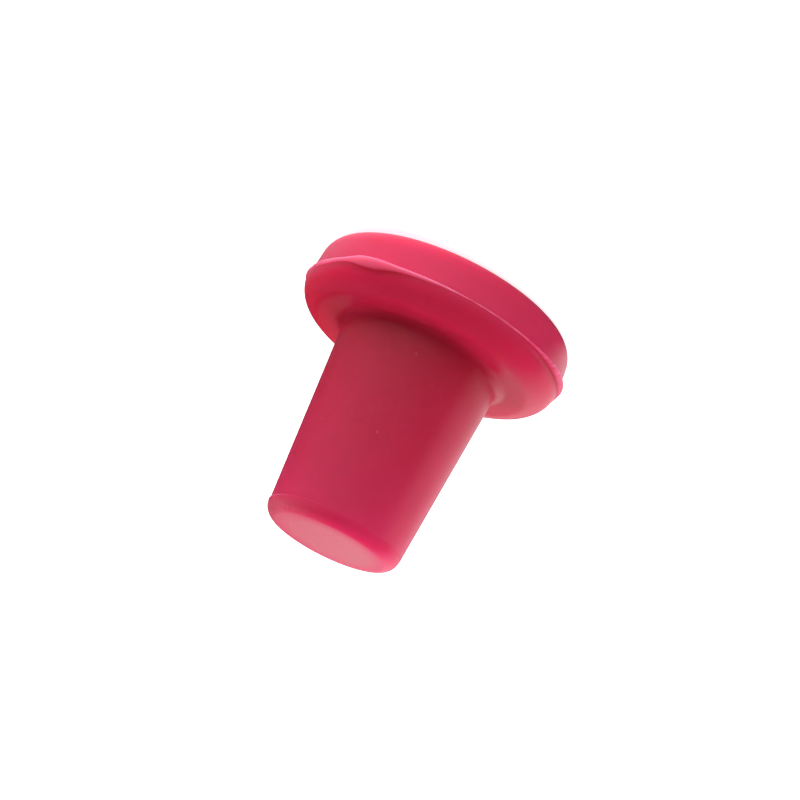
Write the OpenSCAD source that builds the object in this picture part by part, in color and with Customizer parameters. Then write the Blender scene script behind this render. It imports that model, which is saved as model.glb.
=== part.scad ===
// Silicone wine stopper, moulded in one piece.
// It stands on the flat face of its head, with the tapered plug pointing up.
// The origin is the centre of that flat face, and +Z runs along the plug.

/* [Head] */
// Diameter of the head where its two halves meet
head_d = 35; // [30:0.5:45]
// Thickness of the head, from its flat face to its underside
head_t = 8.6; // [7.6:0.1:12]
// Height of the parting line above the flat face
parting_h = 5.3; // [4.2:0.1:6.2]
// Radius of the round between the flat face and the side wall
face_edge_r = 2.4; // [1:0.1:3.2]
// Angle by which the side wall leans in towards the flat face
head_draft = 6; // [0:0.5:12]

/* [Plug] */
// Length of the plug below the head
plug_len = 26.9; // [20:0.1:40]
// Diameter of the plug where it meets the head, wider than the bottle's bore
plug_root_d = 21.4; // [19.5:0.1:25]
// Diameter of the plug where its end begins to round, narrower than the bottle's bore
plug_end_d = 17.8; // [14:0.1:18.2]
// Radius of the fillet between the plug and the head's underside
root_fillet_r = 1.2; // [0.5:0.1:2]
// Radius of the round at the plug's end
end_edge_r = 1.7; // [0.8:0.1:4]

/* [Moulding marks] */
// How much smaller in radius the head's flat half is than its plug half
half_step = 0.08; // [0.02:0.01:0.3]
// How far the flat half sits off the axis along X
half_shift_x = -0.17; // [-0.3:0.01:0.3]
// How far the flat half sits off the axis along Y
half_shift_y = -0.17; // [-0.3:0.01:0.3]
// How far the thin lip at the parting line stands out all round
lip_reach = 0.2; // [0.1:0.01:0.4]
// Thickness of the flash at its edge
flash_edge = 0.1; // [0.06:0.01:0.2]
// Lean of the flash's underside from the axis
flash_lean = 52; // [35:1:60]
// How far the wider tongue of flash stands out
wide_flash_reach = 1.2; // [0.5:0.05:1.6]
// Direction of the wider tongue round the axis
wide_flash_angle = -54; // [-180:1:180]
// Angle from the middle of the wider tongue to where it fades out
wide_flash_spread = 36; // [25:1:50]
// How far the narrower tongue of flash stands out
narrow_flash_reach = 1; // [0.5:0.05:1.6]
// Direction of the narrower tongue round the axis
narrow_flash_angle = -153; // [-180:1:180]
// Angle from the middle of the narrower tongue to where it fades out
narrow_flash_spread = 36; // [25:1:50]
// How much larger in radius the plug's moulded end is than the wall it meets
end_step = 0.12; // [0.02:0.01:0.2]
// How far the plug's moulded end sits off the axis along X
end_shift_x = 0.1; // [-0.2:0.01:0.2]

/* [Hidden] */
$fn = 96;

head_r = head_d / 2;
plug_root_r = plug_root_d / 2;
plug_end_r = plug_end_d / 2;

// The flat half of the head, from its side wall at the parting line to the centre of its edge round
half_r = head_r - half_step;
face_edge_x = half_r - (parting_h - face_edge_r) * tan(head_draft) - face_edge_r / cos(head_draft);

// The plug half of the head rounds over from the parting line to the underside in one quarter circle
rim_r = head_t - parting_h;

// How far the flash's underside runs down inside the rim
flash_depth = rim_r / 2;

// The plug's wall runs straight from the underside to where the end begins to round
plug_tip_z = head_t + plug_len;
end_z = plug_tip_z - end_edge_r;
plug_draft = atan((plug_root_r - plug_end_r) / (end_z - head_t));
function plug_wall_r(z) = plug_root_r - (z - head_t) * tan(plug_draft);

// Centre of the fillet at the plug's root
fillet_z = head_t + root_fillet_r;
fillet_x = plug_wall_r(fillet_z) + root_fillet_r / cos(plug_draft);

// Radius and offset of the circle that stands out of the head by a reach and meets it at a spread
function tongue_offset(reach, spread) = reach / (1 - cos(spread));
function tongue_r(reach, spread) = head_r + reach - tongue_offset(reach, spread);

// Flat half of the head: a leaning wall and a rounded edge up to the flat face
module flat_half() {
    rotate_extrude() {
        polygon([
            [0, 0],
            [face_edge_x, 0],
            [face_edge_x + face_edge_r * cos(head_draft), face_edge_r * (1 - sin(head_draft))],
            [half_r, parting_h],
            [0, parting_h]
        ]);
        translate([face_edge_x, face_edge_r]) circle(r = face_edge_r);
    }
}

// Section of the rim: a quarter circle from the parting line to the head's flat underside
module rim_section() {
    translate([0, parting_h]) square([head_r - rim_r, rim_r]);
    intersection() {
        translate([head_r - rim_r, parting_h]) circle(r = rim_r);
        translate([head_r - rim_r, parting_h]) square(rim_r);
    }
}

// Section of the flash: a blunt edge, and an underside that leans back into the rim
module flash_section(r) {
    polygon([
        [0, parting_h],
        [r, parting_h],
        [r, parting_h + flash_edge],
        [r - flash_depth * tan(flash_lean), parting_h + flash_edge + flash_depth],
        [0, parting_h + flash_edge + flash_depth]
    ]);
}

// Section of the plug: a straight taper with a fillet at its root
module plug_section() {
    polygon([[0, parting_h], [plug_root_r, parting_h], [plug_root_r, head_t], [plug_end_r, end_z], [0, end_z]]);
    difference() {
        polygon([
            [plug_root_r / 2, parting_h],
            [fillet_x, parting_h],
            [fillet_x, head_t],
            [fillet_x - root_fillet_r * cos(plug_draft), fillet_z - root_fillet_r * sin(plug_draft)],
            [plug_root_r / 2, fillet_z]
        ]);
        translate([fillet_x, fillet_z]) circle(r = root_fillet_r);
    }
}

// Section of the plug's end: a flat face and a quarter circle down to the wall
module end_section(r) {
    translate([0, end_z]) square([r - end_edge_r, end_edge_r]);
    intersection() {
        translate([r - end_edge_r, end_z]) circle(r = end_edge_r);
        translate([r - end_edge_r, end_z]) square(end_edge_r);
    }
}

// Plug half: the rim, its all-round lip and the plug, turned as one form
module plug_half() {
    rotate_extrude() {
        rim_section();
        flash_section(head_r + lip_reach);
        plug_section();
    }
}

// A tongue of flash, half an edge above the lip, that fades out on both sides of its direction
module flash_tongue(direction, reach, spread) {
    rotate([0, 0, direction])
        translate([tongue_offset(reach, spread), 0, flash_edge / 2])
            rotate_extrude() flash_section(tongue_r(reach, spread));
}

// Rounded end of the plug, moulded a little larger and a little off the axis
module plug_end() {
    translate([end_shift_x, 0, 0])
        rotate_extrude() end_section(plug_end_r + end_step);
}

module stopper() {
    color([0.84, 0.2, 0.34]) {
        translate([half_shift_x, half_shift_y, 0]) flat_half();
        union() {
            plug_half();
            flash_tongue(narrow_flash_angle, narrow_flash_reach, narrow_flash_spread);
            flash_tongue(wide_flash_angle, wide_flash_reach, wide_flash_spread);
        }
        plug_end();
    }
}

stopper();
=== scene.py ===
"""A silicone wine stopper: the moulded surface, its finish, and the studio round it.

The stopper stands on the flat face of its head with the plug pointing up. Every size is in metres, in the frame
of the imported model, and the camera is rolled so that the plug points down and to the left in the picture.
"""

import logging
import math
from dataclasses import dataclass, field
from enum import Enum
from typing import Any

import bpy
import numpy as np
from mathutils import Matrix, Vector


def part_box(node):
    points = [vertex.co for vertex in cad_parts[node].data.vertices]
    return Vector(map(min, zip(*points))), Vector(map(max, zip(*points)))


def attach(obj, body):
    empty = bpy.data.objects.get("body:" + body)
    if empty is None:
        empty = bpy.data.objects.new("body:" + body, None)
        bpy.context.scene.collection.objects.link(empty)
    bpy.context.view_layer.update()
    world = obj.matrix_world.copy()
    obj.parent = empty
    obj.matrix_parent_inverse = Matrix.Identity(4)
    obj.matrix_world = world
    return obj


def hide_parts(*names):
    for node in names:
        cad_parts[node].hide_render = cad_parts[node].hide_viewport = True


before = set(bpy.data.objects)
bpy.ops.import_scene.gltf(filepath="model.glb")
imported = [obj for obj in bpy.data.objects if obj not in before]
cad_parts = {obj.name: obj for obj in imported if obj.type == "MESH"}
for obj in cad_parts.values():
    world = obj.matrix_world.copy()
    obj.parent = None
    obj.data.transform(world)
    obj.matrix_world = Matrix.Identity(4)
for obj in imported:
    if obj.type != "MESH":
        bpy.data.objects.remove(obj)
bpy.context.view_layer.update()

MM = 0.001
BODY = "root"
NODE = "stopper"
log = logging.getLogger("stopper")

Array = np.ndarray


class RayKind(Enum):
    """The kinds of ray that see the plain white of the studio instead of its light."""

    CAMERA = "Is Camera Ray"
    GLOSSY = "Is Glossy Ray"
    TRANSMISSION = "Is Transmission Ray"


class Pattern(Enum):
    """What a pattern stands for, which is also its node's label."""

    CLOUDS = "pigment clouds"
    GRAIN = "matt mould grain"
    FROST_AND_SHEEN = "mottle of the frosted end"
    SPECKS = "specks of dust"


def linear(hex_code: str) -> tuple[float, float, float, float]:
    """Turn an sRGB hex colour into linear RGBA.

    Args:
        hex_code: six hex digits, such as "e8325a".

    Returns:
        The linear red, green and blue, and an alpha of 1.
    """
    parts = np.array([int(hex_code[i:i + 2], 16) for i in (0, 2, 4)]) / 255
    low, high = parts / 12.92, ((parts + 0.055) / 1.055) ** 2.4
    red, green, blue = np.where(parts <= 0.04045, low, high)
    return float(red), float(green), float(blue), 1.0


def add_node(tree: bpy.types.NodeTree, kind: str, label: str = "", **settings: Any) -> bpy.types.Node:
    """Add one node to a tree with its settings and links.

    Args:
        tree: the node tree.
        kind: the node's type name.
        label: what the node does, in plain words.
        **settings: attributes of the node, or inputs by name with spaces as underscores. An input that is given
            an output socket is linked to it.

    Returns:
        The new node.
    """
    node = tree.nodes.new(kind)
    node.label = label
    for name, value in settings.items():
        if hasattr(node, name):
            setattr(node, name, value)
            continue
        digits = name.rsplit("_", 1)[-1]
        socket = node.inputs[int(digits)] if name == f"input_{digits}" else node.inputs[name.replace("_", " ")]
        if isinstance(value, bpy.types.NodeSocket):
            tree.links.new(value, socket)
        else:
            socket.default_value = value
    return node


def bell(angles: Array, middle: float, spread: float) -> Array:
    """A smooth hump round the axis: half of one plus the cosine, which is 1 in the middle and 0 past the spread.

    Args:
        angles: directions round the axis, in degrees.
        middle: the hump's own direction, in degrees.
        spread: how far from its middle the hump ends, in degrees.

    Returns:
        The hump's height at each direction, from 0 to 1.
    """
    off = np.abs((angles - middle + 180) % 360 - 180)
    return np.where(off < spread, 0.5 + 0.5 * np.cos(np.pi * np.minimum(off / spread, 1)), 0.0)


@dataclass(frozen=True)
class FlashTongue:
    """A stretch of moulding flash that stands out further than the lip on both sides of it."""

    middle: float
    spread: float
    reach: float
    depth: float


@dataclass(frozen=True)
class MouldedSilicone:
    """Liquid silicone rubber, pigmented raspberry red and moulded in a fine matt mould.

    The pigment sits in a clear rubber, so light goes in a few millimetres and comes out redder. Light and shade are
    also painted into the colour: painted shade deepens the red round the plug's root and in the crease under the
    flash, painted light pales the plug's end and the head's rim, a painted glow reddens the rim where light shines
    through, the thin flash is pink with a painted highlight on its edge, and the frosted end is paler by a painted
    sheen. The matt mould gives no sharp highlights, only a pale veil where the surface turns away, partly painted
    on the head's edges.
    """

    name: str = "silicone_rubber_moulded_matt"
    # A shaded and a lit copy of the body's red, mixed by painted light and shade.
    shaded_red_hex: str = "b51730"
    lit_red_hex: str = "eb366c"
    # A painted glow, for light that shines through the rim.
    painted_glow_hex: str = "e81d36"
    # Pink of the thin flash, also used for painted highlights and sheen.
    thin_and_sheen_hex: str = "f78aac"
    # The frost's two colours, paler by a painted sheen.
    frost_and_sheen_hex: str = "d76271"
    frost_and_sheen_light_hex: str = "e27486"
    speck_hex: str = "e8627f"
    roughness: float = 0.32
    grain_roughness: float = 0.06
    refraction: float = 1.41
    scatter_weight: float = 0.7
    scatter_depth: float = 3.0 * MM
    cloud_size: float = 6 * MM
    cloud_share: float = 0.12
    grain_size: float = 0.3 * MM
    grain_height: float = 0.01 * MM
    frost_size: float = 0.45 * MM
    speck_spacing: float = 5 * MM
    speck_size: float = 0.22 * MM

    def colour(self, tree: bpy.types.NodeTree, place: bpy.types.NodeSocket) -> bpy.types.NodeSocket:
        """Mix the deep and the pale red by the painted light and shade, then the painted glow of light through the
        rim, the pink of the flash with its painted highlights, the frosted end with its painted sheen, and a few
        specks.

        Args:
            tree: the material's node tree.
            place: the Object coordinates.

        Returns:
            The socket of the colour.
        """
        clouds = add_node(tree, "ShaderNodeTexNoise", Pattern.CLOUDS.value, Vector=place,
                          Scale=1 / self.cloud_size, Detail=2.0)
        drift = add_node(tree, "ShaderNodeMapRange", "how far the clouds go", Value=clouds.outputs["Fac"],
                         To_Min=-self.cloud_share, To_Max=self.cloud_share)
        # Painted light and shade: deeper round the plug's root and in the crease, paler at the rim and plug's end.
        pale = add_node(tree, "ShaderNodeAttribute", "how pale the rubber is", attribute_name=Stopper.PAINTED_LIGHT_AND_SHADE)
        share = add_node(tree, "ShaderNodeMath", "share of pale red", operation="ADD", use_clamp=True,
                         input_0=pale.outputs["Fac"], input_1=drift.outputs[0])
        body = add_node(tree, "ShaderNodeMix", "red of the body", data_type="RGBA", Factor=share.outputs[0],
                        input_6=linear(self.shaded_red_hex), input_7=linear(self.lit_red_hex))
        # Painted glow, for light that shines through the rim.
        through = add_node(tree, "ShaderNodeAttribute", "light through the rim", attribute_name=Stopper.PAINTED_GLOW)
        rim = add_node(tree, "ShaderNodeMix", "rim that light shines through", data_type="RGBA",
                       Factor=through.outputs["Fac"], input_6=body.outputs[2], input_7=linear(self.painted_glow_hex))
        # Thin flash, with painted highlights on its edge and witness line, and painted sheen on the head's edges.
        thin = add_node(tree, "ShaderNodeAttribute", "thin flash", attribute_name=Stopper.THIN_AND_SHEEN)
        flash = add_node(tree, "ShaderNodeMix", "thin rubber passes light", data_type="RGBA",
                         Factor=thin.outputs["Fac"], input_6=rim.outputs[2], input_7=linear(self.thin_and_sheen_hex))
        mottle = add_node(tree, "ShaderNodeTexNoise", Pattern.FROST_AND_SHEEN.value, Vector=place,
                          Scale=1 / self.frost_size, Detail=2.0)
        depth = add_node(tree, "ShaderNodeMapRange", "depth of the mottle", Value=mottle.outputs["Fac"],
                         From_Min=0.3, From_Max=0.7, To_Min=0.0, To_Max=1.0)
        matt = add_node(tree, "ShaderNodeMix", "mottled frost", data_type="RGBA", Factor=depth.outputs[0],
                        input_6=linear(self.frost_and_sheen_hex), input_7=linear(self.frost_and_sheen_light_hex))
        # Frosted end face, paler by a painted sheen.
        frost = add_node(tree, "ShaderNodeAttribute", "frosted end face", attribute_name=Stopper.FROST_AND_SHEEN)
        end = add_node(tree, "ShaderNodeMix", "frosted rubber scatters white", data_type="RGBA",
                       Factor=frost.outputs["Fac"], input_6=flash.outputs[2], input_7=matt.outputs[2])
        cells = add_node(tree, "ShaderNodeTexVoronoi", Pattern.SPECKS.value, Vector=place,
                         Scale=1 / self.speck_spacing)
        near = self.speck_size / self.speck_spacing
        speck = add_node(tree, "ShaderNodeMapRange", "size of a speck", Value=cells.outputs["Distance"],
                         From_Min=near, From_Max=near / 2, To_Min=0.0, To_Max=0.6)
        dusted = add_node(tree, "ShaderNodeMix", "dust", data_type="RGBA", Factor=speck.outputs[0],
                          input_6=end.outputs[2], input_7=linear(self.speck_hex))
        return dusted.outputs[2]

    def material(self) -> bpy.types.Material:
        """Build the material.

        Returns:
            The new material, on Object coordinates and on the piece's own attributes.
        """
        made = bpy.data.materials.new(self.name)
        made.use_nodes = True
        tree = made.node_tree
        tree.nodes.clear()
        place = add_node(tree, "ShaderNodeTexCoord", "place on the piece").outputs["Object"]
        grain = add_node(tree, "ShaderNodeTexNoise", Pattern.GRAIN.value, Vector=place,
                         Scale=1 / self.grain_size, Detail=3.0)
        gloss = add_node(tree, "ShaderNodeMapRange", "grain in the gloss", Value=grain.outputs["Fac"],
                         To_Min=self.roughness - self.grain_roughness, To_Max=self.roughness + self.grain_roughness)
        bump = add_node(tree, "ShaderNodeBump", "grain in the surface", Height=grain.outputs["Fac"],
                        Strength=1.0, Distance=self.grain_height)
        shader = add_node(tree, "ShaderNodeBsdfPrincipled", "silicone rubber", Base_Color=self.colour(tree, place),
                          Roughness=gloss.outputs[0], IOR=self.refraction, Normal=bump.outputs[0])
        shader.subsurface_method = "RANDOM_WALK"
        shader.inputs["Subsurface Weight"].default_value = self.scatter_weight
        shader.inputs["Subsurface Radius"].default_value = (1.0, 0.14, 0.18)
        shader.inputs["Subsurface Scale"].default_value = self.scatter_depth
        add_node(tree, "ShaderNodeOutputMaterial", "surface", Surface=shader.outputs[0])
        return made


@dataclass
class Stopper:
    """The moulding: its section, carried round the axis with the marks that its mould left.

    The section is a row of stretches, each a function of the direction round the axis and of a share from 0 to 1
    along the stretch, and each worked out as whole arrays.
    """

    # Attributes of the colour, with painted highlights, light, shade, sheen and glow among them.
    THIN_AND_SHEEN = "thin"
    PAINTED_LIGHT_AND_SHADE = "pale"
    FROST_AND_SHEEN = "frost"
    PAINTED_GLOW = "through"

    head_radius: float = 17.5 * MM
    head_thickness: float = 8.6 * MM
    parting_height: float = 5.3 * MM
    face_edge_radius: float = 2.4 * MM
    head_draft: float = math.radians(6)
    plug_root_radius: float = 10.7 * MM
    plug_end_radius: float = 8.9 * MM
    root_fillet_radius: float = 1.2 * MM
    end_edge_radius: float = 1.7 * MM
    half_step: float = 0.08 * MM
    half_shift: tuple[float, float] = (-0.17 * MM, -0.17 * MM)
    end_step: float = 0.02 * MM
    end_shift: tuple[float, float] = (0.08 * MM, 0.0)
    witness_ridge: float = 0.04 * MM
    lip_reach: float = 0.14 * MM
    lip_depth: float = 0.2 * MM
    flash_edge: float = 0.12 * MM
    flash_bulge: float = 0.55
    # Lengths over which the painted light, shade and sheen in the colour fade.
    root_shade: float = 11 * MM
    edge_shade: float = 4 * MM
    foot_shade: float = 1.2 * MM
    end_shade: float = 9 * MM
    frost_fade: float = 2.4 * MM
    tongues: tuple[FlashTongue, ...] = (
        FlashTongue(middle=-54, spread=15, reach=0.7 * MM, depth=0.42 * MM),
        FlashTongue(middle=-60, spread=38, reach=0.45 * MM, depth=0.35 * MM),
        FlashTongue(middle=-18, spread=34, reach=0.0, depth=0.45 * MM),
        FlashTongue(middle=-156, spread=30, reach=0.45 * MM, depth=0.12 * MM),
        FlashTongue(middle=-150, spread=50, reach=0.3 * MM, depth=0.06 * MM),
    )
    near_columns: int = 360
    far_columns: int = 180
    height: float = field(init=False)

    def __post_init__(self) -> None:
        """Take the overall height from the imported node."""
        self.height = float(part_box(NODE)[1][2])

    def angles(self) -> Array:
        """Directions round the axis in degrees, twice as close on the side that the flash is on.

        Returns:
            One direction for each column of the surface.
        """
        near = np.linspace(-180, 0, self.near_columns, endpoint=False)
        far = np.linspace(0, 180, self.far_columns, endpoint=False)
        return np.concatenate([near, far])

    def flash_reach(self, angles: Array) -> Array:
        """How far the flash's edge stands out of the rim: the lip, plus one bell for each tongue, plus small waves.

        Args:
            angles: directions round the axis, in degrees.

        Returns:
            The reach in each direction, never less than what covers the flat half of the head.
        """
        turn = np.radians(angles)
        waves = 0.02 * MM * (np.sin(7 * turn + 1) + np.sin(17 * turn + 2) + 0.6 * np.sin(41 * turn))
        ragged = 0.03 * MM * bell(angles, -143, 22) * (np.sin(83 * turn) + np.sin(131 * turn + 1))
        reach = self.lip_reach + waves + ragged
        for tongue in self.tongues:
            reach = reach + tongue.reach * bell(angles, tongue.middle, tongue.spread)
        shift_x, shift_y = self.half_shift
        flat_half = shift_x * np.cos(turn) + shift_y * np.sin(turn) - self.half_step
        return np.maximum(reach, flat_half + 0.03 * MM)

    def flash_depth(self, angles: Array) -> Array:
        """How far below the parting line the flash's underside meets the rim: the lip's depth plus the tongues'.

        Args:
            angles: directions round the axis, in degrees.

        Returns:
            The depth in each direction.
        """
        depth = self.lip_depth + 0.02 * MM * np.sin(11 * np.radians(angles))
        for tongue in self.tongues:
            depth = depth + tongue.depth * bell(angles, tongue.middle, tongue.spread)
        return depth

    def flat_half_rows(self, angles: Array) -> list[Array]:
        """Rings of the head's flat half: the flat face, an arc up its edge, and a straight leaning wall.

        Args:
            angles: directions round the axis, in degrees.

        Returns:
            Arrays of radius and height, with the columns along the last axis.
        """
        wall_radius = self.head_radius - self.half_step
        rise = self.parting_height - self.face_edge_radius
        arc_centre = wall_radius - rise * math.tan(self.head_draft) - self.face_edge_radius / math.cos(self.head_draft)
        face = self.straight((0.0, 0.0), (arc_centre, 0.0), 10)[1:-1]
        arc = self.arc((arc_centre, self.face_edge_radius), self.face_edge_radius, -math.pi / 2, -self.head_draft, 14)
        wall = self.straight(tuple(arc[-1]), (wall_radius, self.parting_height), 9)[1:]
        rows = np.concatenate([face, arc, wall])
        return [self.shifted(rows, angles, self.half_shift)]

    def flash_rows(self, angles: Array) -> list[Array]:
        """Rings of the flash: out along the parting plane, round its blunt edge, and back along its underside.

        The edge is a half circle of the flash's own thickness. The underside goes to the rim's arc part way
        between a straight line and the quarter of an ellipse, so that it meets the rim in a sharp crease.

        Args:
            angles: directions round the axis, in degrees.

        Returns:
            Arrays of x, y and height for each ring.
        """
        edge = self.head_radius + self.flash_reach(angles)
        half = self.flash_edge / 2
        middle = self.parting_height + half
        turn = np.linspace(-math.pi / 2, math.pi / 2, 6)[:, None]
        nose_radius = edge - half + half * np.cos(turn)
        nose_height = middle + half * np.sin(turn) + 0 * edge
        crease_angle = np.arcsin(self.flash_depth(angles) / self.rim_radius)
        crease_radius = self.head_radius - self.rim_radius * (1 - np.cos(crease_angle))
        crease_height = self.parting_height + self.rim_radius * np.sin(crease_angle)
        share = np.linspace(0, 1, 9)[1:, None]
        bulge = self.flash_bulge
        inward = (1 - bulge) * share + bulge * (1 - np.cos(share * math.pi / 2))
        along = (1 - bulge) * share + bulge * np.sin(share * math.pi / 2)
        under_radius = nose_radius[-1] + (crease_radius - nose_radius[-1]) * inward
        under_height = nose_height[-1] + (crease_height - nose_height[-1]) * along
        return [self.turned(np.concatenate([nose_radius, under_radius]),
                            np.concatenate([nose_height, under_height]), angles)]

    def plug_half_rows(self, angles: Array) -> list[Array]:
        """Rings of the plug half: the rim's arc from the flash's crease, the underside, the fillet and the wall.

        Args:
            angles: directions round the axis, in degrees.

        Returns:
            Arrays of x, y and height for each ring.
        """
        start = np.arcsin(self.flash_depth(angles) / self.rim_radius)
        share = np.linspace(0, 1, 22)[1:, None]
        turn = start + (math.pi / 2 - start) * share
        rim_radius = self.head_radius - self.rim_radius * (1 - np.cos(turn))
        rim_height = self.parting_height + self.rim_radius * np.sin(turn)
        rim = self.turned(rim_radius, rim_height, angles)

        drop = (self.plug_root_radius - self.plug_end_radius) / (self.end_height - self.head_thickness)
        lean = math.atan(drop)
        fillet_height = self.head_thickness + self.root_fillet_radius
        fillet_centre = (self.plug_root_radius - drop * self.root_fillet_radius
                         + self.root_fillet_radius / math.cos(lean))
        under = self.straight((self.head_radius - self.rim_radius, self.head_thickness),
                              (fillet_centre, self.head_thickness), 7)[1:]
        fillet = self.arc((fillet_centre, fillet_height), self.root_fillet_radius,
                          -math.pi / 2, -math.pi - -lean, 12)[1:]
        wall = self.straight(tuple(fillet[-1]), (self.plug_end_radius, self.end_height), 34)[1:]
        return [rim, self.shifted(np.concatenate([under, fillet, wall]), angles, (0.0, 0.0))]

    def end_rows(self, angles: Array) -> list[Array]:
        """Rings of the plug's end: a fine witness ridge, an arc over the edge, and the flat end face.

        Args:
            angles: directions round the axis, in degrees.

        Returns:
            Arrays of x, y and height for each ring.
        """
        radius = self.plug_end_radius + self.end_step
        ridge = self.witness_ridge
        witness = np.array([[radius + ridge / 2, self.end_height], [radius + ridge, self.end_height + ridge],
                            [radius, self.end_height + 3 * ridge]])
        start = math.asin(4 * ridge / self.end_edge_radius)
        arc = self.arc((radius - self.end_edge_radius, self.end_height), self.end_edge_radius,
                       start, math.pi / 2, 14)
        face = self.straight(tuple(arc[-1]), (0.0, self.height), 10)[1:-1]
        return [self.shifted(np.concatenate([witness, arc, face]), angles, self.end_shift)]

    @property
    def rim_radius(self) -> float:
        """The rim's arc runs from the parting line to the underside in a quarter circle."""
        return self.head_thickness - self.parting_height

    @property
    def end_height(self) -> float:
        """Height at which the plug's wall ends and its end begins to round."""
        return self.height - self.end_edge_radius

    @staticmethod
    def straight(start: tuple[float, float], stop: tuple[float, float], count: int) -> Array:
        """Points of a straight line in the section, as radius and height.

        Args:
            start: the first point.
            stop: the last point.
            count: how many points.

        Returns:
            An array of count rows.
        """
        return np.linspace(start, stop, count)

    @staticmethod
    def arc(centre: tuple[float, float], radius: float, start: float, stop: float, count: int) -> Array:
        """Points of an arc in the section: the centre plus the radius times the cosine and sine of the angle.

        Args:
            centre: radius and height of the arc's centre.
            radius: the arc's own radius.
            start: first angle, in radians.
            stop: last angle, in radians.
            count: how many points.

        Returns:
            An array of count rows.
        """
        turn = np.linspace(start, stop, count)
        return np.stack([centre[0] + radius * np.cos(turn), centre[1] + radius * np.sin(turn)], axis=1)

    @staticmethod
    def turned(radius: Array, height: Array, angles: Array) -> Array:
        """Carry radii and heights round the axis: x and y are the radius times the cosine and sine.

        Args:
            radius: one row for each ring and one column for each direction.
            height: the same shape as radius.
            angles: directions round the axis, in degrees.

        Returns:
            An array of rings by columns by three.
        """
        turn = np.radians(angles)
        return np.stack([radius * np.cos(turn), radius * np.sin(turn), height + 0 * radius], axis=-1)

    @classmethod
    def shifted(cls, rows: Array, angles: Array, shift: tuple[float, float]) -> Array:
        """Carry a section round an axis that sits off the stopper's own.

        Args:
            rows: radius and height of each ring.
            angles: directions round the axis, in degrees.
            shift: how far off the axis, along x and y.

        Returns:
            An array of rings by columns by three.
        """
        ones = np.ones_like(angles)
        rings = cls.turned(rows[:, :1] * ones, rows[:, 1:] * ones, angles)
        rings[..., 0] += shift[0]
        rings[..., 1] += shift[1]
        return rings

    def build(self) -> bpy.types.Object:
        """Make the closed surface and its attributes, with painted light, shade, sheen and glow among them.

        Returns:
            The stopper's mesh object, at the origin.
        """
        angles = self.angles()
        flat_half = self.flat_half_rows(angles)
        flash = self.flash_rows(angles)
        plug_half = self.plug_half_rows(angles)
        rings = np.concatenate(flat_half + flash + plug_half + self.end_rows(angles))
        poles = np.array([[*self.half_shift, 0.0], [*self.end_shift, self.height]])
        first_flash = sum(len(part) for part in flat_half)
        first_end = sum(len(part) for part in flat_half + flash + plug_half)
        # Thin flash, with painted highlights on its edge and witness line, and painted sheen on the head's edges.
        thin = np.zeros(rings.shape[:2])
        thin[first_flash:first_flash + 14] = self.flash_thinness_and_sheen(angles)
        thin[first_end:first_end + 3] = self.painted_witness_highlight(angles)
        thin = np.maximum(thin, self.painted_edge_sheen(rings, angles))
        # Painted light and shade in the body's red.
        pale = self.painted_light_and_shade(rings)
        # Painted shade in the crease under the flash.
        pale[first_flash:first_flash + 17] *= 1 - self.painted_crease_shade(angles)
        # The frost with its painted sheen, and the painted glow in the rim.
        marks = {self.THIN_AND_SHEEN: thin, self.PAINTED_LIGHT_AND_SHADE: pale, self.FROST_AND_SHEEN: self.frost_and_painted_sheen(rings),
                 self.PAINTED_GLOW: self.painted_glow_through_rim(rings)}
        return closed_mesh(NODE + "_moulding", rings, poles, marks)

    def frost_and_painted_sheen(self, rings: Array) -> Array:
        """How frosted the surface is, its pale colour partly a painted sheen: fully on the middle of the plug's end
        face, fading out towards its edge.

        On the side that faces +X the frost and its painted sheen run on, more thinly, over the end's round.

        Args:
            rings: rings by columns by three.

        Returns:
            A number from 0 to 1 for each point.
        """
        radius = np.hypot(rings[..., 0] - self.end_shift[0], rings[..., 1])
        face_radius = self.plug_end_radius + self.end_step - self.end_edge_radius
        share = np.clip((face_radius + 0.15 * self.frost_fade - radius) / self.frost_fade, 0, 1)
        angles = np.degrees(np.arctan2(rings[..., 1], rings[..., 0]))
        round_share = np.clip((rings[..., 2] - self.end_height) / (0.8 * MM), 0, 1)
        over_round = 0.7 * bell(angles, -8, 85) * round_share * (radius > 0.7 * face_radius)
        return np.maximum(0.85 * share * share * (3 - 2 * share) * (rings[..., 2] > self.end_height), over_round)

    def painted_glow_through_rim(self, rings: Array) -> Array:
        """How much painted glow, for light that shines through the head's rim, reddens it: the exponential of the
        distance from the rim's edge.

        It fades in over the first millimetre and a half past the parting line, the flat half has none, and the
        side away from the flash has most.

        Args:
            rings: rings by columns by three.

        Returns:
            A number from 0 to 1 for each point.
        """
        height = rings[..., 2]
        from_edge = np.maximum(self.head_radius - np.hypot(rings[..., 0], rings[..., 1]), 0)
        past_parting = np.clip((height - self.parting_height - 0.3 * MM) / (1.5 * MM), 0, 1)
        on_head = height < self.head_thickness + 0.1 * MM
        side = 0.12 + 0.63 * bell(np.degrees(np.arctan2(rings[..., 1], rings[..., 0])), 20, 100)
        return side * np.exp(-from_edge / self.edge_shade) * past_parting * on_head

    @staticmethod
    def painted_witness_highlight(angles: Array) -> Array:
        """The painted highlight along the witness line's ridge, on its three rings: most on the side that faces +X.

        Args:
            angles: directions round the axis, in degrees.

        Returns:
            A number from 0 to 1 for each point of the three rings.
        """
        strength = 0.04 + 0.96 * bell(angles, -5, 45)
        return np.array([0.8, 1, 0.7])[:, None] * strength

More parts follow.
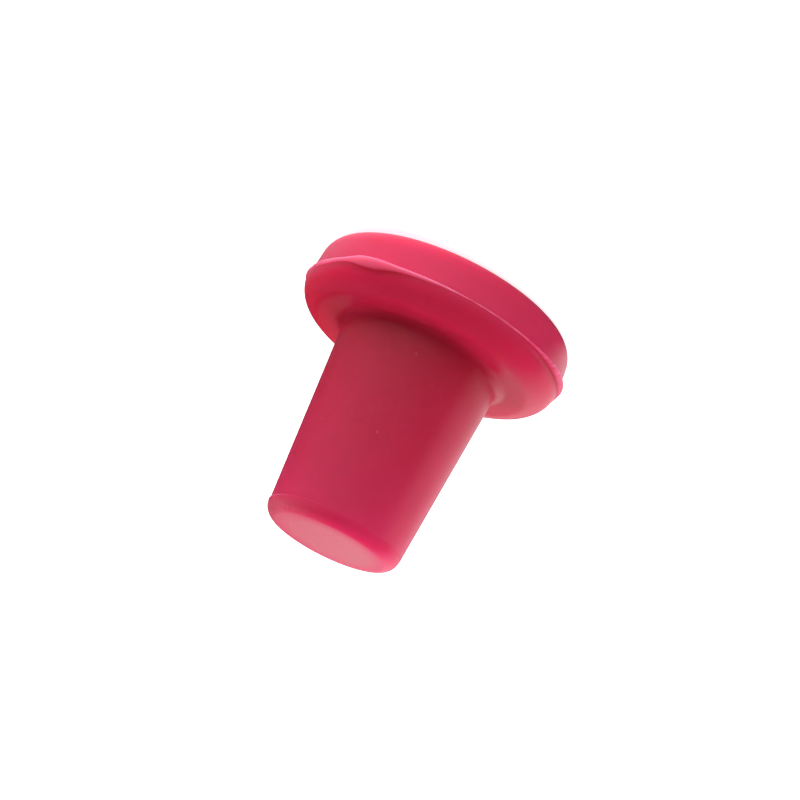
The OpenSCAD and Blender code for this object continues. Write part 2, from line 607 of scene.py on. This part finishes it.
    @staticmethod
    def painted_crease_shade(angles: Array) -> Array:
        """How much painted shade deepens the red in the crease under the flash, on the rings that run down to it
        and past it.

        Args:
            angles: directions round the axis, in degrees.

        Returns:
            A number from 0 to 1 for each point of the seventeen rings from the parting line on.
        """
        rings = np.array([0] * 11 + [0.15, 0.5, 1, 1, 0.5, 0.15])
        strength = 0.5 * bell(angles, -57, 45) + 0.3 * bell(angles, -20, 35) + 0.6 * bell(angles, -155, 32)
        return rings[:, None] * strength

    def flash_thinness_and_sheen(self, angles: Array) -> Array:
        """How thin the flash's rubber is, ring by ring: most at its edge, least at the crease and on the plain lip.
        The thin rubber is paler, and the bright line round its edge is a painted highlight.

        Args:
            angles: directions round the axis, in degrees.

        Returns:
            A number from 0 to 1 for each point of the flash's rings.
        """
        edge = [0.6, 1, 1, 1, 1, 1]
        under = [0.85, 0.6, 0.5, 0.44, 0.38, 0.28, 0.1, 0]
        turn = np.radians(angles)
        patchy = 0.38 + 0.12 * np.sin(9 * turn + 1) + 0.1 * np.sin(23 * turn) + 0.08 * np.sin(57 * turn + 2)
        specks = 0.5 + 0.3 * np.sin(71 * turn) + 0.3 * np.sin(113 * turn + 1)
        strength = np.minimum(patchy + bell(angles, -50, 70) + 0.3 * specks * bell(angles, -150, 34), 1)
        return np.array(edge + under)[:, None] * strength

    def painted_light_and_shade(self, rings: Array) -> Array:
        """How pale the body's red is: painted shade deepens it round the plug's root, and painted light pales it at
        the head's rim and at the plug's end.

        It falls off round the plug's root by the exponential of the distance from it, and it rises by the
        exponential of the distance from the head's rim, most on the flat half, and from the edge of the plug's end.

        Args:
            rings: rings by columns by three.

        Returns:
            A number from 0, deep red, to 1, pale red, for each point.
        """
        radius = np.hypot(rings[..., 0], rings[..., 1])
        height = rings[..., 2]
        from_root = np.hypot(radius - self.plug_root_radius, height - self.head_thickness)
        from_rim = np.where(height < self.head_thickness + 0.1 * MM, self.head_radius - radius, 1.0)
        from_end = np.hypot(radius - self.plug_end_radius, height - self.height)
        root = np.exp(-from_root / self.root_shade)
        most = np.where(height < self.parting_height + 0.5 * MM, 0.42, 0.25)
        rim = most * np.exp(-np.maximum(from_rim, 0) / self.edge_shade)
        end = np.exp(-from_end / self.end_shade)
        return np.clip(0.45 - 0.38 * root + rim + 0.45 * end, 0, 1)

    def painted_edge_sheen(self, rings: Array, angles: Array) -> Array:
        """How much painted sheen, a pale veil of reflected light, lies on the head's edges, in the pale pink of the
        thin flash.

        It falls off by the exponential of the height above the flat face, on one side of the head, and by the
        exponential of the height above the parting line, on the other side.

        Args:
            rings: rings by columns by three.
            angles: the direction of each column.

        Returns:
            A number from 0, none, to 1, as pale as thin rubber, for each point.
        """
        radius = np.hypot(rings[..., 0], rings[..., 1])
        height = rings[..., 2]
        above_parting = height - self.parting_height
        foot = 0.3 * np.exp(-height / self.foot_shade) * bell(angles, -165, 50)
        on_rim = (above_parting >= 0) & (radius > self.head_radius - 2.5 * MM)
        rim = 0.4 * np.exp(-np.maximum(above_parting, 0) / self.foot_shade) * bell(angles, -2, 45)
        return np.where(above_parting < 0, foot, rim * on_rim)


def closed_mesh(name: str, rings: Array, poles: Array, attributes: dict[str, Array]) -> bpy.types.Object:
    """Put rings of points and a pole at each end into a closed mesh, with faces that point outwards.

    Args:
        name: the object's name.
        rings: rings by columns by three, from the first pole to the second.
        poles: the two end points.
        attributes: a number for each ring point, by name. A pole gets the number of the ring next to it.

    Returns:
        The new object, linked to the scene.
    """
    count, columns, _ = rings.shape
    points = np.concatenate([rings.reshape(-1, 3), poles])
    index = np.arange(count * columns).reshape(count, columns)
    after = np.roll(index, -1, axis=1)
    quads = np.stack([index[:-1], after[:-1], after[1:], index[1:]], axis=-1).reshape(-1, 4)
    first, last = count * columns, count * columns + 1
    bottom = np.stack([np.full(columns, first), after[0], index[0]], axis=-1)
    top = np.stack([np.full(columns, last), index[-1], after[-1]], axis=-1)
    triangles = np.concatenate([bottom, top])
    corners = np.concatenate([quads.ravel(), triangles.ravel()]).astype(np.int32)
    sizes = np.concatenate([np.full(len(quads), 4), np.full(len(triangles), 3)])
    starts = np.concatenate([[0], np.cumsum(sizes)[:-1]]).astype(np.int32)
    mesh = bpy.data.meshes.new(name)
    mesh.vertices.add(len(points))
    mesh.vertices.foreach_set("co", points.astype(np.float32).ravel())
    mesh.loops.add(len(corners))
    mesh.loops.foreach_set("vertex_index", corners)
    mesh.polygons.add(len(sizes))
    mesh.polygons.foreach_set("loop_start", starts)
    mesh.update(calc_edges=True)
    mesh.validate()
    for label, values in attributes.items():
        layer = mesh.attributes.new(label, "FLOAT", "POINT")
        ends = [values[0, 0], values[-1, 0]]
        layer.data.foreach_set("value", np.concatenate([values.ravel(), ends]).astype(np.float32))
    mesh.shade_smooth()
    mesh.set_sharp_from_angle(angle=math.radians(38))
    made = bpy.data.objects.new(name, mesh)
    bpy.context.scene.collection.objects.link(made)
    return made


@dataclass(frozen=True)
class PhotoCamera:
    """The camera of the photograph: how high it looks from, its roll and distance, and what it aims at."""

    elevation: float = math.radians(18.186)
    roll: float = math.radians(206.345)
    distance: float = 300 * MM
    pixels_per_radius: float = 139.473
    aim_height: float = 14 * MM
    aside: float = 0.306 * MM
    above: float = 0.785 * MM
    frame_pixels: int = 800
    sensor: float = 36.0

    def axes(self) -> tuple[Vector, Vector, Vector]:
        """The picture's right and up and the way back to the camera, rolled about the line of sight."""
        back = Vector((0, -math.cos(self.elevation), math.sin(self.elevation)))
        level, steep = Vector((1, 0, 0)), Vector((0, math.sin(self.elevation), math.cos(self.elevation)))
        right = math.cos(self.roll) * level + math.sin(self.roll) * steep
        up = -math.sin(self.roll) * level + math.cos(self.roll) * steep
        return right, up, back

    def build(self, radius: float) -> bpy.types.Object:
        """Make the camera and set it as the scene's own.

        Args:
            radius: the head's radius, which the picture's scale is given for.

        Returns:
            The camera object.
        """
        right, up, back = self.axes()
        data = bpy.data.cameras.new("photo_camera")
        data.sensor_width = self.sensor
        data.lens = self.pixels_per_radius / radius * self.distance / self.frame_pixels * self.sensor
        data.clip_start = 0.01
        made = bpy.data.objects.new("photo_camera", data)
        aim = Vector((0, 0, self.aim_height)) - self.aside * right - self.above * up
        made.matrix_world = (Matrix.Translation(aim + self.distance * back)
                             @ Matrix((right, up, back)).transposed().to_4x4())
        bpy.context.scene.collection.objects.link(made)
        bpy.context.scene.camera = made
        return made


@dataclass(frozen=True)
class SoftLight:
    """A square softbox that faces the stopper, by its compass direction and height in degrees."""

    name: str
    direction: float
    elevation: float
    distance: float
    size: float
    power: float
    mirrored: bool = True

    def build(self, target: Vector) -> bpy.types.Object:
        """Make the area lamp.

        Args:
            target: the point that it faces.

        Returns:
            The lamp object.
        """
        turn, tilt = math.radians(self.direction), math.radians(self.elevation)
        way = Vector((math.cos(tilt) * math.cos(turn), math.cos(tilt) * math.sin(turn), math.sin(tilt)))
        data = bpy.data.lights.new(self.name, "AREA")
        data.energy = self.power
        data.size = self.size
        made = bpy.data.objects.new(self.name, data)
        made.location = target + self.distance * way
        made.rotation_euler = way.to_track_quat("Z", "Y").to_euler()
        made.visible_glossy = self.mirrored
        bpy.context.scene.collection.objects.link(made)
        return made


@dataclass(frozen=True)
class Studio:
    """A plain white light table in a pale surround, with soft lamps above and behind the stopper.

    The table glows most on the side of table_direction, as a lit panel does, and so it lights the head's side wall
    from below while the head shades the plug's root.
    """

    floor_size: float = 6.0
    floor_hex: str = "f2f2f2"
    near_white: float = 0.84
    far_white: float = 1.0
    far_from: float = 0.12
    table_direction: float = math.radians(-42)
    table_light: float = 0.65
    pool_light: float = 1.5
    pool_radius: float = 0.1
    surround: float = 0.1
    dark_side: float = 0.02
    table_reflected: float = 0.5
    surround_white: float = math.radians(125)
    surround_ramp: tuple[float, float] = (0.775, 0.81)
    table_white: float = math.radians(155)
    table_ramp: tuple[float, float] = (0.66, 0.85)
    lamps: tuple[SoftLight, ...] = (
        SoftLight("top_softbox", direction=-90, elevation=80, distance=0.5, size=0.3, power=0.85,
                  mirrored=False),
        SoftLight("left_back_softbox", direction=135, elevation=40, distance=0.5, size=0.3, power=1.4,
                  mirrored=False),
        SoftLight("right_back_softbox", direction=45, elevation=40, distance=0.5, size=0.3, power=1.25,
                  mirrored=False),
        SoftLight("left_softbox", direction=180, elevation=25, distance=0.5, size=0.3, power=0.8,
                  mirrored=False),
    )

    @staticmethod
    def mirrored(tree: bpy.types.NodeTree) -> bpy.types.NodeSocket:
        """Tell the rays of a reflection from the rest.

        Args:
            tree: the tree of the floor's material or of the world.

        Returns:
            A socket that is 1 for glossy and transmission rays and 0 for the rest.
        """
        path = add_node(tree, "ShaderNodeLightPath", "kind of ray")
        kinds = [path.outputs[kind.value] for kind in (RayKind.GLOSSY, RayKind.TRANSMISSION)]
        return add_node(tree, "ShaderNodeMath", "reflected or passed on", operation="MAXIMUM",
                        input_0=kinds[0], input_1=kinds[1]).outputs[0]

    def white_reflected(self, tree: bpy.types.NodeTree, place: bpy.types.NodeSocket, direction: float,
                        ramp: tuple[float, float]) -> bpy.types.NodeSocket:
        """The white that reflections show: full on the studio's white side, and dim on its dark side.

        Args:
            tree: the tree of the floor's material or of the world.
            place: the socket of the place or of the ray's way.
            direction: the compass direction of the white side, in radians.
            ramp: how far towards that direction the dim side ends and the full white begins, from -1 to 1.

        Returns:
            A socket from dark_side to 1.
        """
        return add_node(tree, "ShaderNodeMapRange", "white in reflections", From_Min=ramp[0], From_Max=ramp[1],
                        Value=self.towards(tree, place, direction), To_Min=self.dark_side,
                        To_Max=1.0).outputs[0]

    @staticmethod
    def towards(tree: bpy.types.NodeTree, place: bpy.types.NodeSocket, direction: float) -> bpy.types.NodeSocket:
        """How much a place lies towards a compass direction: the dot product of the two unit vectors.

        Args:
            tree: the tree of the floor's material or of the world.
            place: the socket of the place.
            direction: the compass direction, in radians.

        Returns:
            A socket that is 1 straight that way, 0 at a right angle to it, and -1 the other way.
        """
        unit = add_node(tree, "ShaderNodeVectorMath", "unit vector", operation="NORMALIZE", input_0=place)
        way = (math.cos(direction), math.sin(direction), 0.0)
        return add_node(tree, "ShaderNodeVectorMath", "towards", operation="DOT_PRODUCT",
                        input_0=unit.outputs[0], input_1=way).outputs["Value"]

    def build_world(self) -> None:
        """Light the scene evenly, and show white to the camera and to reflections."""
        world = bpy.data.worlds.new("white_surround")
        world.use_nodes = True
        tree = world.node_tree
        tree.nodes.clear()
        camera = add_node(tree, "ShaderNodeLightPath", "kind of ray").outputs[RayKind.CAMERA.value]
        place = add_node(tree, "ShaderNodeTexCoord", "way that the ray goes").outputs["Generated"]
        lit = add_node(tree, "ShaderNodeMapRange", "light or white", Value=camera,
                       To_Min=self.surround, To_Max=1.0)
        reflected = self.white_reflected(tree, place, self.surround_white, self.surround_ramp)
        strength = add_node(tree, "ShaderNodeMapRange", "light or reflection", Value=self.mirrored(tree),
                            To_Min=lit.outputs[0], To_Max=reflected)
        shade = add_node(tree, "ShaderNodeBackground", "surround", Color=(1, 1, 1, 1), Strength=strength.outputs[0])
        add_node(tree, "ShaderNodeOutputWorld", "world", Surface=shade.outputs[0])
        bpy.context.scene.world = world

    def build_floor(self) -> bpy.types.Object:
        """Make the light table, which is white to the camera and still takes the stopper's shadow.

        Its light is half of one plus the cosine of the angle from table_direction, cubed, and it falls off with
        the distance from the stopper, while the white that the camera sees rises with it.

        Returns:
            The floor object.
        """
        half = self.floor_size / 2
        mesh = bpy.data.meshes.new("floor")
        mesh.from_pydata([(-half, -half, 0), (half, -half, 0), (half, half, 0), (-half, half, 0)], [], [(0, 1, 2, 3)])
        made = bpy.data.objects.new("floor", mesh)
        material = bpy.data.materials.new("acrylic_opal_light_table")
        material.use_nodes = True
        tree = material.node_tree
        tree.nodes.clear()
        place = add_node(tree, "ShaderNodeTexCoord", "place on the table").outputs["Object"]
        share = add_node(tree, "ShaderNodeMapRange", "lit side", Value=self.towards(tree, place, self.table_direction),
                         From_Min=-1.0, From_Max=1.0, To_Min=0.0, To_Max=1.0)
        lobe = add_node(tree, "ShaderNodeMath", "narrower", operation="POWER", input_0=share.outputs[0], input_1=3.0)
        distance = add_node(tree, "ShaderNodeVectorMath", "distance", operation="LENGTH", input_0=place)
        pool = add_node(tree, "ShaderNodeMapRange", "pool of light", interpolation_type="SMOOTHSTEP",
                        Value=distance.outputs["Value"], From_Min=0.0, From_Max=self.pool_radius,
                        To_Min=self.pool_light, To_Max=self.table_light)
        light = add_node(tree, "ShaderNodeMath", "table's light", operation="MULTIPLY",
                         input_0=lobe.outputs[0], input_1=pool.outputs[0])
        white = add_node(tree, "ShaderNodeMapRange", "white seen", Value=distance.outputs["Value"], From_Min=0.04,
                         From_Max=self.far_from, To_Min=self.near_white, To_Max=self.far_white)
        camera = add_node(tree, "ShaderNodeLightPath", "kind of ray").outputs[RayKind.CAMERA.value]
        strength = add_node(tree, "ShaderNodeMapRange", "light or white", Value=camera,
                            To_Min=light.outputs[0], To_Max=white.outputs[0])
        paint = add_node(tree, "ShaderNodeBsdfDiffuse", "opal face", Color=linear(self.floor_hex))
        glow = add_node(tree, "ShaderNodeEmission", "glow", Color=(1, 1, 1, 1), Strength=strength.outputs[0])
        both = add_node(tree, "ShaderNodeAddShader", "table", input_0=paint.outputs[0], input_1=glow.outputs[0])
        dimmed = add_node(tree, "ShaderNodeMath", "light in reflections", operation="MULTIPLY",
                          input_0=light.outputs[0], input_1=self.table_reflected)
        brighter = add_node(tree, "ShaderNodeMath", "light or white", operation="MAXIMUM",
                            input_0=dimmed.outputs[0],
                            input_1=self.white_reflected(tree, place, self.table_white, self.table_ramp))
        shown = add_node(tree, "ShaderNodeEmission", "table in reflections", Color=(1, 1, 1, 1),
                         Strength=brighter.outputs[0])
        whole = add_node(tree, "ShaderNodeMixShader", "table or its reflection", Fac=self.mirrored(tree),
                         input_1=both.outputs[0], input_2=shown.outputs[0])
        add_node(tree, "ShaderNodeOutputMaterial", "surface", Surface=whole.outputs[0])
        mesh.materials.append(material)
        bpy.context.scene.collection.objects.link(made)
        return made

    def build(self, target: Vector) -> None:
        """Set the world, the floor and the lamps.

        Args:
            target: the point that the lamps face.
        """
        self.build_world()
        self.build_floor()
        for lamp in self.lamps:
            lamp.build(target)


def main() -> None:
    """Build the stopper and its studio, and report each piece."""
    logging.basicConfig(level=logging.INFO, format="%(name)s: %(message)s")
    stopper = Stopper()
    PhotoCamera().build(stopper.head_radius)
    Studio().build(Vector((0, 0, stopper.height / 2)))
    piece = stopper.build()
    piece.data.materials.append(MouldedSilicone().material())
    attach(piece, BODY)
    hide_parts(NODE)
    log.info("%s: %d faces, %.1f mm high", piece.name, len(piece.data.polygons), stopper.height / MM)
    bpy.context.scene.view_settings.view_transform = "Standard"


if __name__ == "__main__":
    main()
